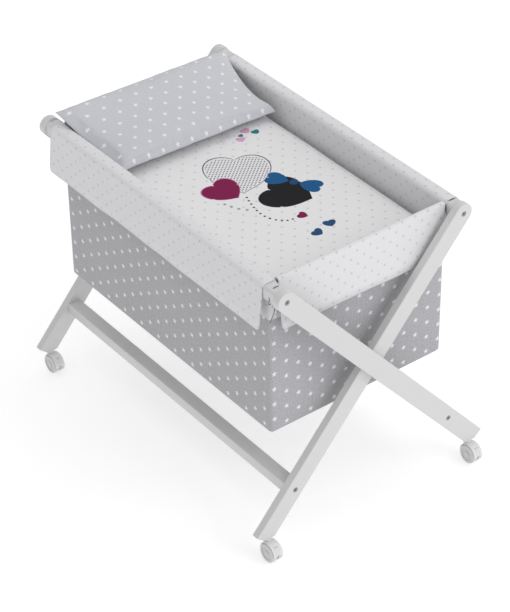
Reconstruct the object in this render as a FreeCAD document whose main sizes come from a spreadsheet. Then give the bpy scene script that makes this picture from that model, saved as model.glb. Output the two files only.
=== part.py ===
import FreeCAD, Part
import os
import re
from FreeCAD import Placement, Rotation, Vector

# A mini bassinet on a folding wooden stand.  Two identical frames, each of two legs, a top rail
# and a low stretcher, cross as an X at each end.  A fabric basket with a lining, a base board, a
# mattress, a quilt and a pillow hangs between the rails.  Four twin-wheel castors carry the legs.
#
# Frame: +Z up, +Y from the foot end to the head end, +X to the right seen from the foot end.
# The origin lies on the floor, at the middle of the whole object's box.

SIZES = {
    # stand
    "frame_length": (960, "outer face of the first foot-end leg to outer face of the last head-end leg"),
    "top_bolt_span": (526, "left rail bolt to right rail bolt, when the stand is open"),
    "bottom_bolt_span": (452, "left stretcher bolt to right stretcher bolt"),
    "top_bolt_z": (731, "height of the rail bolts"),
    "bottom_bolt_z": (167, "height of the stretcher bolts"),
    "leg_width": (50, "leg, across its broad face"),
    "leg_thick": (20, "leg, along the stand"),
    "leg_foot_reach": (487, "pivot to the square lower end of a leg, along the leg"),
    "leg_gap": (0.5, "between two crossing legs, filled by the pivot washer"),
    "leg_edge": (2, "rounding of the leg's long edges"),
    "rail_side": (36, "square section of the top rail"),
    "rail_edge": (8, "rounding of the rail's long edges"),
    "bar_wide": (36, "stretcher width"),
    "bar_high": (30, "stretcher height"),
    "bar_edge": (3, "rounding of the stretcher's long edges"),
    # fasteners
    "bolt_radius": (3, "connector bolt shank"),
    "bolt_hole_radius": (3.3, "hole for the connector bolt"),
    "head_radius": (6.5, "connector bolt head"),
    "head_high": (3, "connector bolt head"),
    "head_sink": (3.4, "depth of the counterbore that takes the head"),
    "key_radius": (2.3, "hexagon socket in the head, across its corners"),
    "bolt_length": (60, "connector bolt, under its head"),
    "bore_spare": (4, "bolt bore past the bolt's tip"),
    "nut_radius": (5, "barrel nut"),
    "nut_length": (18, "barrel nut"),
    "dowel_radius": (4, "wooden dowel beside each bolt"),
    "dowel_length": (34, "wooden dowel"),
    "dowel_offset": (9, "dowel axis below the bolt axis"),
    "pivot_washer_radius": (14, "washer between two crossing legs"),
    "insert_radius": (5.5, "threaded insert that takes the pivot bolt"),
    "insert_depth": (13, "threaded insert"),
    "fit": (0.3, "clearance around pins and between soft pieces"),
    # castors
    "wheel_radius": (24.5, "castor wheel"),
    "wheel_wide": (12, "one of the two wheels of a castor"),
    "castor_wide": (31, "over both wheels"),
    "castor_trail": (16, "wheel axle behind the swivel axis"),
    "axle_radius": (2.5, "castor axle"),
    "hood_gap": (0.9, "between the wheel tread and the hood"),
    "hood_wall": (2.2, "hood over the treads"),
    "foot_clear": (5.9, "between the top of a castor's hood and the flat sawn under its leg"),
    "hood_wide": (25, "hood over the treads"),
    "hub_web": (6, "middle plate of the hood, between the wheels"),
    "neck_radius": (9, "round neck of the hood"),
    "stem_grip": (6, "depth that the stem goes into the neck"),
    "hub_cap": (2.6, "wall that closes the wheel's bore on its outer face"),
    "dish_deep": (1.5, "ring sunk in the wheel's outer face"),
    "dish_outer": (17.6, "radius of that ring"),
    "dish_inner": (7.4, "radius of the boss inside that ring"),
    "neck_gap": (0.5, "between the neck and the leg"),
    "stem_radius": (4, "castor stem"),
    "stem_length": (34, "castor stem above the neck"),
    "sleeve_radius": (5.5, "sleeve that takes the stem in the leg"),
    "sleeve_length": (36, "sleeve in the leg"),
    "brake_wide": (11, "brake lever"),
    # fabric and bedding
    "basket_gap": (29, "inner leg to the basket, at each end"),
    "basket_inset": (5, "basket's side wall, inside the rail's axis"),
    "basket_bottom_z": (322, "underside of the basket"),
    "basket_round": (30, "rounding of the basket's bottom edges"),
    "basket_corner": (11, "rounding of the basket's upright corners"),
    "lining_corner": (4, "rounding of the lining"),
    "cloth": (3, "thickness of basket and lining"),
    "flap_gap": (21.5, "inner leg to the side flaps, at each end"),
    "flap_flare": (9, "side flap stands this far off the rail"),
    "flap_hem_z": (630, "lower hem of the side flaps"),
    "end_flap_hem_z": (618, "lower hem of the end flaps"),
    "end_flap_out": (19, "end flap stands this far off the basket's end"),
    "lining_top_z": (640, "seam between the flaps and the lining"),
    "lining_floor_z": (545, "underside of the lining's floor"),
    "board_thick": (6, "base board"),
    "mattress_thick": (100, "mattress"),
    "bedding_gap": (1, "around board and mattress"),
    "quilt_thick": (36, "quilt"),
    "quilt_gap": (3, "quilt to the lining"),
    "pillow_gap": (8.5, "pillow to the lining, at each side"),
    "pillow_depth": (255, "pillow, along the basket"),
    "pillow_thick": (48, "pillow"),
    "pillow_round": (18, "rounding of the pillow"),
    "pillow_tilt": (16.5, "pillow's rise towards the head end"),
    "pillow_over": (14, "pillow's upper edge past the basket's end"),
}

# Sizes that follow from the ones above.
DERIVED = {
    "half_top": "top_bolt_span / 2",
    "half_bottom": "bottom_bolt_span / 2",
    "bolt_rise": "top_bolt_z - bottom_bolt_z",
    "lean": "atan((half_top + half_bottom) / bolt_rise)",
    "pivot_z": "bottom_bolt_z + bolt_rise * half_bottom / (half_top + half_bottom)",
    "leg_top_reach": "(top_bolt_z - pivot_z) / cos(lean)",
    "leg_pitch": "leg_thick + leg_gap",
    "rail_length": "frame_length - 3 * leg_thick - leg_gap",
    "hood_radius": "wheel_radius + hood_gap + hood_wall",
    "leg_foot_z": "wheel_radius + hood_radius + foot_clear",
    "foot_overhang": "castor_trail + hood_radius - leg_thick / 2",
    # the foot-end face of the outermost leg, seen from the origin
    "leg_plane_y": "foot_overhang / 2 - frame_length / 2",
    "foot_outer_x": "leg_foot_reach * sin(lean) + leg_width / 2 * cos(lean)",
    "foot_outer_z": "pivot_z - leg_foot_reach * cos(lean) + leg_width / 2 * sin(lean)",
    "foot_inner_x": "leg_foot_reach * sin(lean) - leg_width / 2 * cos(lean)",
    "foot_inner_z": "pivot_z - leg_foot_reach * cos(lean) - leg_width / 2 * sin(lean)",
    "flat_outer_x": "foot_outer_x - (foot_outer_z - leg_foot_z) / tan(lean)",
    "flat_inner_x": "foot_inner_x - (leg_foot_z - foot_inner_z) * tan(lean)",
    "castor_x": "(flat_outer_x + flat_inner_x) / 2",
    "rail_inner_x": "half_top - rail_side / 2",
    "rail_outer_x": "half_top + rail_side / 2",
    "rail_under_z": "top_bolt_z - rail_side / 2",
    "rail_top_z": "top_bolt_z + rail_side / 2",
    "flap_inner_x": "rail_inner_x - fit",
    "flap_top_z": "rail_top_z + fit + cloth",
    "inner_leg_y": "leg_plane_y + leg_pitch + leg_thick",
    "basket_x": "half_top - basket_inset",
    "basket_y": "inner_leg_y + basket_gap",
    "basket_end_y": "leg_plane_y + frame_length - leg_pitch - leg_thick - basket_gap",
    "flap_y": "inner_leg_y + flap_gap",
    "flap_end_y": "basket_end_y + basket_gap - flap_gap",
    "lining_y": "basket_y + cloth + fit",
    "lining_end_y": "basket_end_y - cloth - fit",
    "bed_x": "flap_inner_x - cloth - bedding_gap",
    "bed_y": "lining_y + cloth + bedding_gap",
    "bed_end_y": "lining_end_y - cloth - bedding_gap",
    "board_z": "lining_floor_z + cloth + fit",
    "mattress_z": "board_z + board_thick + fit",
    "quilt_z": "mattress_z + mattress_thick + fit",
    "pillow_front_z": "quilt_z + quilt_thick + fit"
                      " - pillow_round * (sin(pillow_tilt) + cos(pillow_tilt) - 1)",
    "pillow_front_y": "basket_end_y + pillow_over - pillow_depth * cos(pillow_tilt)",
    # depths from the end of a rail or stretcher
    "bore_depth": "bolt_length - leg_thick + head_sink + bore_spare",
    "dowel_depth": "dowel_length - leg_thick / 2 + 1",
    "nut_seat": "bolt_length - leg_thick + head_sink - nut_radius",
    # castors
    "guard_radius": "wheel_radius + hood_gap",
    "wheel_inner_x": "castor_wide / 2 - wheel_wide",
    "stem_foot_z": "leg_foot_z - neck_gap - stem_grip",
}

doc = FreeCAD.newDocument("BassinetOnStand")
sheet = doc.addObject("Spreadsheet::Sheet", "sizes")
for row, (alias, (value, meaning)) in enumerate(SIZES.items(), start=1):
    sheet.set(f"A{row}", str(value))
    sheet.setAlias(f"A{row}", alias)
    sheet.set(f"B{row}", meaning)
doc.recompute()

NODES = []


def formula(text):
    """Spell a formula with the sheet's cells: derived names are replaced by what they stand for."""
    def spell(match):
        word = match.group(0)
        if word in DERIVED:
            return f"({formula(DERIVED[word])})"
        if word in SIZES:
            return f"sizes.{word}"
        return word
    return re.sub(r"[a-z][a-z_]*", spell, str(text))


def bind(thing, **formulas):
    for name, text in formulas.items():
        thing.setExpression(name, formula(text))
    return thing


def place(thing, x, y, z, turn=Rotation()):
    thing.Placement = Placement(Vector(), turn)
    for axis, text in zip("xyz", (x, y, z)):
        thing.setExpression(f"Placement.Base.{axis}", formula(text))
    return thing


def box(name, x, y, z, x_end, y_end, z_end):
    """A block between two corners."""
    block = doc.addObject("Part::Box", name)
    bind(block, Length=f"({x_end}) - ({x})", Width=f"({y_end}) - ({y})", Height=f"({z_end}) - ({z})")
    return place(block, x, y, z)


ALONG_X = Rotation(Vector(0, 1, 0), 90)
ALONG_Y = Rotation(Vector(1, 0, 0), -90)


def rod(name, radius, length, x, y, z, turn=Rotation(), sweep=360):
    """A round bar that starts at x, y, z; sweep below 360 leaves only a sector of it."""
    bar = doc.addObject("Part::Cylinder", name)
    bind(bar, Radius=radius, Height=length)
    bar.Angle = sweep
    return place(bar, x, y, z, turn)


def group(name, kind, pieces):
    whole = doc.addObject(kind, name)
    setattr(whole, "Links" if kind == "Part::Compound" else "Shapes", pieces)
    return whole


def fuse(name, *pieces):
    whole = group(name, "Part::MultiFuse", list(pieces))
    whole.Refine = True
    return whole


def cut(name, base, *tools):
    part = doc.addObject("Part::Cut", name)
    part.Base = base
    part.Tool = tools[0] if len(tools) == 1 else group(name + "_tools", "Part::MultiFuse", list(tools))
    return part


def rounded(name, base, radius, wanted):
    """Round the edges of base for which wanted(edge) is true."""
    doc.recompute()
    part = doc.addObject("Part::Fillet", name)
    part.Base = base
    part.Edges = [(number, radius, radius)
                  for number, edge in enumerate(base.Shape.Edges, start=1) if wanted(edge)]
    return part


def size(alias):
    return sheet.get(alias)


def runs_along(axis):
    """Test for straight edges that are parallel to one axis (0, 1 or 2)."""
    def wanted(edge):
        start, end = edge.Vertexes[0].Point, edge.Vertexes[-1].Point
        return all(abs(start[other] - end[other]) < 1e-6 for other in range(3) if other != axis)
    return wanted


def lies_in_face(edge):
    """Test for edges in a leg's two broad faces."""
    return edge.BoundBox.YLength < 1e-6


def node(name, thing):
    thing.Label = name
    NODES.append((name, thing))


# ---------------------------------------------------------------- stand

# Each frame: the sign of its rail's side, and the start of its foot-end leg.
FRAMES = {"left_frame": (-1, "leg_plane_y"), "right_frame": (1, "leg_plane_y + leg_pitch")}


def frame_joints(side):
    """The two bars of a frame: name, bolt axis in x and z, section and edge."""
    return {"rail": (f"{side} * half_top", "top_bolt_z", "rail_side", "rail_side", "rail_edge"),
            "stretcher": (f"{-side} * half_bottom", "bottom_bolt_z", "bar_wide", "bar_high", "bar_edge")}


def leg(name, side, y, outer, holds_insert):
    """One leg.  Its bolt heads sink into the outer face: -1 towards the foot end, 1 towards the head."""
    blank = doc.addObject("Part::Box", name + "_blank")
    bind(blank, Length="leg_width", Width="leg_thick", Height="leg_top_reach + leg_foot_reach")
    place(blank,
          f"{-side} * leg_foot_reach * sin(lean) - leg_width / 2 * cos(lean)", y,
          f"pivot_z - leg_foot_reach * cos(lean) + {-side} * -leg_width / 2 * sin(lean)",
          Rotation(Vector(0, side, 0), 40))
    blank.setExpression("Placement.Rotation.Angle", formula("lean"))
    joints = frame_joints(side)
    top_x, top_z = joints["rail"][:2]
    tip = rod(name + "_tip", "leg_width / 2", "leg_thick", top_x, y, top_z, ALONG_Y)
    below = box(name + "_below", "-frame_length", f"{y} - leg_thick", "-leg_width",
                "frame_length", f"{y} + 2 * leg_thick", "leg_foot_z")
    sawn = cut(name + "_sawn", fuse(name + "_bar", blank, tip), below)
    smooth = rounded(name + "_smooth", sawn, size("leg_edge"), lies_in_face)

    def sunk(depth, face):
        return y if face < 0 else f"{y} + leg_thick - ({depth})"

    holes = []
    for joint, (x, z, *section) in joints.items():
        holes += [rod(f"{name}_{joint}_bore", "bolt_hole_radius", "leg_thick", x, y, z, ALONG_Y),
                  rod(f"{name}_{joint}_sink", "head_radius + fit", "head_sink", x, sunk("head_sink", outer), z,
                      ALONG_Y),
                  rod(f"{name}_{joint}_dowel_bore", "dowel_radius", "leg_thick / 2",
                      x, sunk("leg_thick / 2", -outer), f"{z} - dowel_offset", ALONG_Y)]
    inner = -outer
    if holds_insert:
        holes.append(rod(name + "_insert_bore", "insert_radius", "insert_depth",
                         0, sunk("insert_depth", inner), "pivot_z", ALONG_Y))
    else:
        holes += [rod(name + "_pivot_bore", "bolt_hole_radius", "leg_thick", 0, y, "pivot_z", ALONG_Y),
                  rod(name + "_pivot_sink", "head_radius + fit", "head_sink",
                      0, sunk("head_sink", inner), "pivot_z", ALONG_Y)]
    holes.append(rod(name + "_sleeve_bore", "sleeve_radius", "sleeve_length",
                     f"{-side} * castor_x", f"{y} + leg_thick / 2", "leg_foot_z"))
    node(name, cut(name, smooth, *holes))


def bar(name, side, joint, y):
    """A rail or stretcher between the legs of a frame, bored at both ends."""
    x, z, wide, high, edge = frame_joints(side)[joint]
    blank = box(name + "_blank", f"{x} - {wide} / 2", y, f"{z} - {high} / 2",
                f"{x} + {wide} / 2", f"{y} + rail_length", f"{z} + {high} / 2")
    smooth = rounded(name + "_smooth", blank, size(edge), runs_along(1))
    bores = []
    for end, bolt_y, dowel_y, seat in (
            ("foot", y, y, f"{y} + nut_seat"),
            ("head", f"{y} + rail_length - bore_depth", f"{y} + rail_length - dowel_depth",
             f"{y} + rail_length - nut_seat")):
        bores += [rod(f"{name}_{end}_bore", "bolt_hole_radius", "bore_depth", x, bolt_y, z, ALONG_Y),
                  rod(f"{name}_{end}_dowel_bore", "dowel_radius", "dowel_depth",
                      x, dowel_y, f"{z} - dowel_offset", ALONG_Y),
                  rod(f"{name}_{end}_nut_bore", "nut_radius", f"{high} / 2 + nut_length / 2",
                      x, seat, f"{z} - {high} / 2")]
    node(name, cut(name, smooth, *bores))


def frame(name, side, y):
    near_y, far_y = y, f"{y} + leg_thick + rail_length"
    leg(name + "_near_leg", side, near_y, -1, holds_insert=side < 0)
    leg(name + "_far_leg", side, far_y, 1, holds_insert=side > 0)
    bolts, nuts, dowels, sleeves = [], [], [], []
    for joint, (x, z, *section) in frame_joints(side).items():
        bar(f"{name}_{joint}", side, joint, f"{y} + leg_thick")
        for end, head_y, shank_y, dowel_y, seat in (
                ("near", f"{near_y} + head_sink - head_high", f"{near_y} + head_sink",
                 f"{near_y} + leg_thick / 2", f"{near_y} + leg_thick + nut_seat"),
                ("far", f"{far_y} + leg_thick - head_sink", f"{far_y} + leg_thick - head_sink - bolt_length",
                 f"{far_y} + leg_thick / 2 - dowel_length", f"{far_y} - nut_seat")):
            tag = f"{name}_{joint}_{end}"
            key_y = head_y if end == "near" else f"{head_y} + head_high / 3"
            head = fuse(f"{tag}_bolt_whole",
                        rod(f"{tag}_head", "head_radius", "head_high", x, head_y, z, ALONG_Y),
                        rod(f"{tag}_shank", "bolt_radius", "bolt_length", x, shank_y, z, ALONG_Y))
            key = doc.addObject("Part::Prism", f"{tag}_key")
            key.Polygon = 6
            bind(key, Circumradius="key_radius", Height="head_high * 2 / 3")
            place(key, x, key_y, z, ALONG_Y)
            bolts.append(cut(f"{tag}_bolt", head, key))
            nut = rod(f"{tag}_nut_blank", "nut_radius - fit / 2", "nut_length",
                      x, seat, f"{z} - nut_length / 2")
            nuts.append(cut(f"{tag}_nut", nut,
                            rod(f"{tag}_nut_thread", "bolt_radius", "4 * nut_radius",
                                x, f"{seat} - 2 * nut_radius", z, ALONG_Y)))
            dowels.append(rod(f"{tag}_dowel", "dowel_radius", "dowel_length",
                              x, dowel_y, f"{z} - dowel_offset", ALONG_Y))
    for end, leg_y in (("near", near_y), ("far", far_y)):
        at = (f"{-side} * castor_x", f"{leg_y} + leg_thick / 2", "leg_foot_z")
        sleeves.append(cut(f"{name}_{end}_sleeve",
                           rod(f"{name}_{end}_sleeve_blank", "sleeve_radius", "sleeve_length", *at),
                           rod(f"{name}_{end}_sleeve_bore", "stem_radius + fit", "sleeve_length", *at)))
    for label, pieces in (("bolts", bolts), ("barrel_nuts", nuts), ("dowels", dowels),
                          ("castor_sleeves", sleeves)):
        node(f"{name}_{label}", group(f"{name}_{label}", "Part::Compound", pieces))


for frame_name, (frame_side, frame_y) in FRAMES.items():
    frame(frame_name, frame_side, frame_y)

# Pivots.  At the foot end the left frame's leg is the outer one and holds the insert; at the head
# end the right frame's leg does.  The bolt's head sinks into the inner leg.
PIVOTS = {"near": "leg_plane_y + leg_thick",
          "far": "leg_plane_y + 2 * leg_thick + rail_length"}
pivot_bolts, pivot_washers = [], []
for end, seam_y in PIVOTS.items():
    washer = rod(f"{end}_washer_blank", "pivot_washer_radius", "leg_gap", 0, seam_y, "pivot_z", ALONG_Y)
    pivot_washers.append(cut(f"{end}_washer", washer,
                             rod(f"{end}_washer_hole", "bolt_hole_radius", "leg_gap",
                                 0, seam_y, "pivot_z", ALONG_Y)))
    if end == "near":
        insert_y = f"{seam_y} - insert_depth"
        head_y = f"{seam_y} + leg_gap + leg_thick - head_sink"
        shank_y = f"{seam_y} - insert_depth + 1"
    else:
        insert_y = f"{seam_y} + leg_gap"
        head_y = f"{seam_y} - leg_thick + head_sink - head_high"
        shank_y = f"{seam_y} - leg_thick + head_sink"
    insert = rod(f"{end}_insert_blank", "insert_radius", "insert_depth", 0, insert_y, "pivot_z", ALONG_Y)
    node(f"{end}_pivot_insert", cut(f"{end}_pivot_insert", insert,
                                    rod(f"{end}_insert_hole", "bolt_hole_radius", "insert_depth",
                                        0, insert_y, "pivot_z", ALONG_Y)))
    pivot_bolts.append(fuse(f"{end}_pivot_bolt",
                            rod(f"{end}_pivot_head", "head_radius", "head_high", 0, head_y, "pivot_z", ALONG_Y),
                            rod(f"{end}_pivot_shank", "bolt_radius",
                                "leg_thick - head_sink + leg_gap + insert_depth - 1",
                                0, shank_y, "pivot_z", ALONG_Y)))
node("pivot_bolts", group("pivot_bolts", "Part::Compound", pivot_bolts))
node("pivot_washers", group("pivot_washers", "Part::Compound", pivot_washers))

# ---------------------------------------------------------------- castors

# Degrees from +Y towards +Z: where the pedal's slot and the pedal start, and how far they and the web reach.
SLOT_START, SLOT_SWEEP = 125, 60
BRAKE_START, BRAKE_SWEEP = 127, 44
WEB_SWEEP = 120
TYRE_EDGE = 1.6

CASTORS = {"near_right": ("castor_x", "leg_plane_y + leg_thick / 2"),
           "near_left": ("-castor_x", "leg_plane_y + leg_pitch + leg_thick / 2"),
           "far_right": ("castor_x", "leg_plane_y + leg_thick * 3 / 2 + rail_length"),
           "far_left": ("-castor_x", "leg_plane_y + leg_pitch + leg_thick * 3 / 2 + rail_length")}


def turned_along_x(start):
    """Along X, with a sector that starts at this angle from +Y towards +Z."""
    return Rotation(Vector(1, 0, 0), 90 + start) * ALONG_X


def is_rim(edge):
    """Test for the two outer circles of a wheel."""
    return len(edge.Vertexes) == 1


def castor(name, x, y):
    axle_y = f"{y} - castor_trail"

    def across(label, radius, width, turn=ALONG_X, sweep=360):
        return rod(f"{name}_{label}", radius, width, f"{x} - ({width}) / 2", axle_y, "wheel_radius", turn, sweep)

    neck = rod(name + "_neck", "neck_radius", "leg_foot_z - neck_gap - wheel_radius", x, y, "wheel_radius")
    guard = cut(name + "_guard",
                fuse(name + "_guard_whole", neck,
                     across("guard_outer", "hood_radius", "hood_wide", turned_along_x(0), 180)),
                across("guard_inner", "guard_radius", "hood_wide + 2"),
                across("brake_slot", "hood_radius + 2", "brake_wide + 2 * fit", turned_along_x(SLOT_START), SLOT_SWEEP))
    web = fuse(name + "_web", across("web_low", "wheel_radius - 4", "hub_web"),
               across("web_high", "guard_radius + hood_wall / 2", "hub_web", turned_along_x(0), WEB_SWEEP))
    stem_bore = rod(name + "_stem_bore", "stem_radius", "leg_foot_z", x, y, "stem_foot_z")
    hood = cut(name + "_hood", fuse(name + "_hood_whole", guard, web), stem_bore,
               across("axle_bore", "axle_radius", "hub_web + 2"))
    node(name + "_hood", hood)
    node(name + "_stem", rod(name + "_stem", "stem_radius", "stem_length + neck_gap + stem_grip",
                             x, y, "stem_foot_z"))
    node(name + "_axle", across("axle", "axle_radius", "castor_wide - 6"))
    for side, label in ((-1, "left"), (1, "right")):
        inner_x = f"{x} + wheel_inner_x" if side > 0 else f"{x} - castor_wide / 2"
        face_x = f"{x} + castor_wide / 2 - dish_deep" if side > 0 else f"{x} - castor_wide / 2"
        bore_x = inner_x if side > 0 else f"{x} - castor_wide / 2 + hub_cap"
        blank = rod(f"{name}_{label}_wheel_blank", "wheel_radius", "wheel_wide",
                    inner_x, axle_y, "wheel_radius", ALONG_X)
        tyre = rounded(f"{name}_{label}_tyre", blank, TYRE_EDGE, is_rim)
        dish = cut(f"{name}_{label}_dish",
                   rod(f"{name}_{label}_dish_outer", "dish_outer", "dish_deep",
                       face_x, axle_y, "wheel_radius", ALONG_X),
                   rod(f"{name}_{label}_dish_inner", "dish_inner", "dish_deep",
                       face_x, axle_y, "wheel_radius", ALONG_X))
        bore = rod(f"{name}_{label}_bore", "axle_radius + fit", "wheel_wide - hub_cap",
                   bore_x, axle_y, "wheel_radius", ALONG_X)
        node(f"{name}_{label}_wheel", cut(f"{name}_{label}_wheel", tyre, dish, bore))
    brake = cut(name + "_brake",
                across("brake_outer", "hood_radius", "brake_wide", turned_along_x(BRAKE_START), BRAKE_SWEEP),
                across("brake_inner", "guard_radius", "brake_wide + 2"))
    node(name + "_brake", brake)


for end_side, (castor_x, castor_y) in CASTORS.items():
    castor("castor_" + end_side, castor_x, castor_y)

# ---------------------------------------------------------------- fabric and bedding


def tub(name, x, y, z, y_end, z_end, corner, bottom):
    """An open-topped fabric box, x either side of the middle, with round upright and bottom edges."""
    skins = []
    for label, inset in (("outer", "0"), ("inner", "cloth")):
        thinner = 0 if label == "outer" else size("cloth")
        block = box(f"{name}_{label}_block", f"-({x}) + {inset}", f"{y} + {inset}", f"{z} + {inset}",
                    f"{x} - {inset}", f"{y_end} - {inset}", z_end)
        upright = rounded(f"{name}_{label}_upright", block, corner - thinner, runs_along(2))
        doc.recompute()
        floor_z = upright.Shape.BoundBox.ZMin
        skins.append(rounded(f"{name}_{label}", upright, bottom - thinner,
                             lambda edge: edge.BoundBox.ZMax < floor_z + 1e-3))
    node(name, cut(name, *skins))


def turned_down_hem(name, long_axis, start, end, outer, inner, outer_hem, inner_hem, seam_start, seam_end):
    """A flap: over the edge it hangs on, with an outer skirt and an inner side sewn to the lining."""
    low, high = (f"({outer})", f"({inner})")
    corners = {"top": (low, high, "flap_top_z - cloth", start, end),
               "skirt": (low, f"{low} + cloth", outer_hem, start, end),
               "inside": (f"{high} - cloth", high, inner_hem, seam_start, seam_end)}
    slabs = []
    for label, (near, far, bottom, first, last) in corners.items():
        if long_axis == "y":
            slabs.append(box(f"{name}_{label}", near, first, bottom, far, last, "flap_top_z"))
        else:
            slabs.append(box(f"{name}_{label}", first, near, bottom, last, far, "flap_top_z"))
    return fuse(name, *slabs)


tub("basket", "basket_x", "basket_y", "basket_bottom_z", "basket_end_y", "rail_under_z - fit",
    size("basket_corner"), size("basket_round"))
tub("lining", "flap_inner_x", "lining_y", "lining_floor_z", "lining_end_y", "lining_top_z - fit",
    size("lining_corner"), size("lining_corner"))

node("left_flap", turned_down_hem("left_flap", "y", "flap_y", "flap_end_y",
                                  "-rail_outer_x - flap_flare - cloth", "-flap_inner_x + cloth",
                                  "flap_hem_z", "lining_top_z", "lining_y", "lining_end_y"))
right_flap = doc.addObject("Part::Mirroring", "right_flap")
right_flap.Source = doc.getObject("left_flap")
right_flap.Base = Vector()
right_flap.Normal = Vector(1, 0, 0)
node("right_flap", right_flap)

end_half = "flap_inner_x - cloth - fit"
node("foot_flap", turned_down_hem("foot_flap", "x", f"-({end_half})", end_half,
                                  "basket_y - end_flap_out - cloth", "basket_y + 2 * cloth + fit",
                                  "end_flap_hem_z", "lining_top_z", f"-({end_half})", end_half))
head = turned_down_hem("head_flap", "x", f"-({end_half})", end_half,
                       "basket_y - end_flap_out - cloth", "basket_y + 2 * cloth + fit",
                       "end_flap_hem_z", "lining_top_z", f"-({end_half})", end_half)
head_turned = doc.addObject("Part::Mirroring", "head_flap_turned")
head_turned.Source = head
head_turned.Normal = Vector(0, 1, 0)
head_turned.setExpression("Base.y", formula("(basket_y + basket_end_y) / 2"))
node("head_flap", head_turned)

node("base_board", box("base_board", "-(bed_x)", "bed_y", "board_z",
                       "bed_x", "bed_end_y", "board_z + board_thick"))
MATTRESS_EDGE, QUILT_EDGE = 14, 12
soft_edges = [("mattress", "bed_x", "bed_y", "bed_end_y", "mattress_z", "mattress_thick", MATTRESS_EDGE),
              ("quilt", "bed_x - quilt_gap", "bed_y + quilt_gap", "bed_end_y - quilt_gap",
               "quilt_z", "quilt_thick", QUILT_EDGE)]
for name, half, y, y_end, z, thick, radius in soft_edges:
    block = box(name + "_block", f"-({half})", y, z, half, y_end, f"{z} + {thick}")
    node(name, rounded(name, block, radius, lambda edge: True))

pillow_block = doc.addObject("Part::Box", "pillow_block")
bind(pillow_block, Length="2 * (bed_x - pillow_gap)", Width="pillow_depth", Height="pillow_thick")
place(pillow_block, "pillow_gap - bed_x", "pillow_front_y", "pillow_front_z", Rotation(Vector(1, 0, 0), 10))
pillow_block.setExpression("Placement.Rotation.Angle", formula("pillow_tilt"))
node("pillow", rounded("pillow", pillow_block, size("pillow_round"), lambda edge: True))

# ---------------------------------------------------------------- check and write

doc.recompute()
for thing in doc.Objects:
    if any(word in thing.State for word in ("Invalid", "Error")):
        raise RuntimeError(f"{thing.Name} did not compute: {thing.State}")
os.makedirs("parts", exist_ok=True)
for name, thing in NODES:
    shape = thing.Shape
    if shape.isNull() or not shape.isValid() or not shape.Solids:
        raise RuntimeError(f"{name} has no valid solid")
for name, thing in NODES:
    thing.Shape.exportStep(f"parts/{name}.step")
print(len(NODES), "nodes written")
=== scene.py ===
import math

import bmesh
import bpy
from bpy.props import FloatProperty, FloatVectorProperty, PointerProperty
from mathutils import Matrix, Quaternion, Vector, noise
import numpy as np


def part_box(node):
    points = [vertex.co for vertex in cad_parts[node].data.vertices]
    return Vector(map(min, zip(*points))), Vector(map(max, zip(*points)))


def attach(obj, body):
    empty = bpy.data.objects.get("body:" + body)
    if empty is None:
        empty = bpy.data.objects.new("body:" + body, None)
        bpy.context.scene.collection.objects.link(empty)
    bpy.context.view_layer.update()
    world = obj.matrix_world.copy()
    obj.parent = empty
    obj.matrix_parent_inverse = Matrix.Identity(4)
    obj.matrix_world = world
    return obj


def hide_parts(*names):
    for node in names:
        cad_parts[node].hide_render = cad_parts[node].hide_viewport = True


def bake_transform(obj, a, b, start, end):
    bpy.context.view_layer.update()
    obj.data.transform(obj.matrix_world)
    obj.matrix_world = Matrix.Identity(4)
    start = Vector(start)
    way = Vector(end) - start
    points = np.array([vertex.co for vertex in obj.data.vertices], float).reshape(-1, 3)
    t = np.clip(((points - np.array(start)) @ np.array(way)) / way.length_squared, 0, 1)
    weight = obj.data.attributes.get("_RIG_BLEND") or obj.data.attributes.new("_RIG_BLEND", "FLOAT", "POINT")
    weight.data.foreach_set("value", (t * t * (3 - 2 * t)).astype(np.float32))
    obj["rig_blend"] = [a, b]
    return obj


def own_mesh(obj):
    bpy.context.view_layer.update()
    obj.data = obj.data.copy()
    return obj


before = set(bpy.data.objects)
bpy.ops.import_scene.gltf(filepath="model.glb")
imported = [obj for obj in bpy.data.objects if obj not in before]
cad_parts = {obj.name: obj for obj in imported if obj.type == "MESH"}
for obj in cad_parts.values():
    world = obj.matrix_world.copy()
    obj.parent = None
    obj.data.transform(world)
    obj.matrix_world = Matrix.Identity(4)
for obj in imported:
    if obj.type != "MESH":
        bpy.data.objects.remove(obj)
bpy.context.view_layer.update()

bl_info = {
    "name": "Bassinet on stand",
    "version": (1, 0, 0),
    "blender": (4, 5, 0),
    "location": "View3D > Sidebar > Bassinet",
    "description": "Fabric, bedding, finishes and stage for a small bassinet on a folding wooden stand",
    "category": "Object",
}

MM = 0.001


def linear(hex_colour):
    """An sRGB hex colour as linear RGBA."""
    value = hex_colour.lstrip("#")
    channels = [int(value[i:i + 2], 16) / 255 for i in (0, 2, 4)]
    return tuple(c / 12.92 if c <= 0.04045 else ((c + 0.055) / 1.055) ** 2.4 for c in channels) + (1.0,)


def span(node):
    """A CAD node's box as plain tuples: lowest and highest corner in metres."""
    low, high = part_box(node)
    return tuple(low), tuple(high)


# ------------------------------------------------------------------ sizes and colours

RAIL_LOW, RAIL_HIGH = span("left_frame_rail")
FLAP_LOW, FLAP_HIGH = span("left_flap")
FOOT_LOW, FOOT_HIGH = span("foot_flap")
HEAD_LOW, HEAD_HIGH = span("head_flap")
BASKET_LOW, BASKET_HIGH = span("basket")
LINING_LOW, LINING_HIGH = span("lining")
QUILT_LOW, QUILT_HIGH = span("quilt")
MATTRESS_LOW, MATTRESS_HIGH = span("mattress")
BOARD_LOW, BOARD_HIGH = span("base_board")

# Height of the seam where the grey basket meets its white band, and where the flaps' inner sides end.
HEM = 641 * MM
# Gap left between a visible cloth and the face of its CAD solid.
CLEAR = 1 * MM


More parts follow.
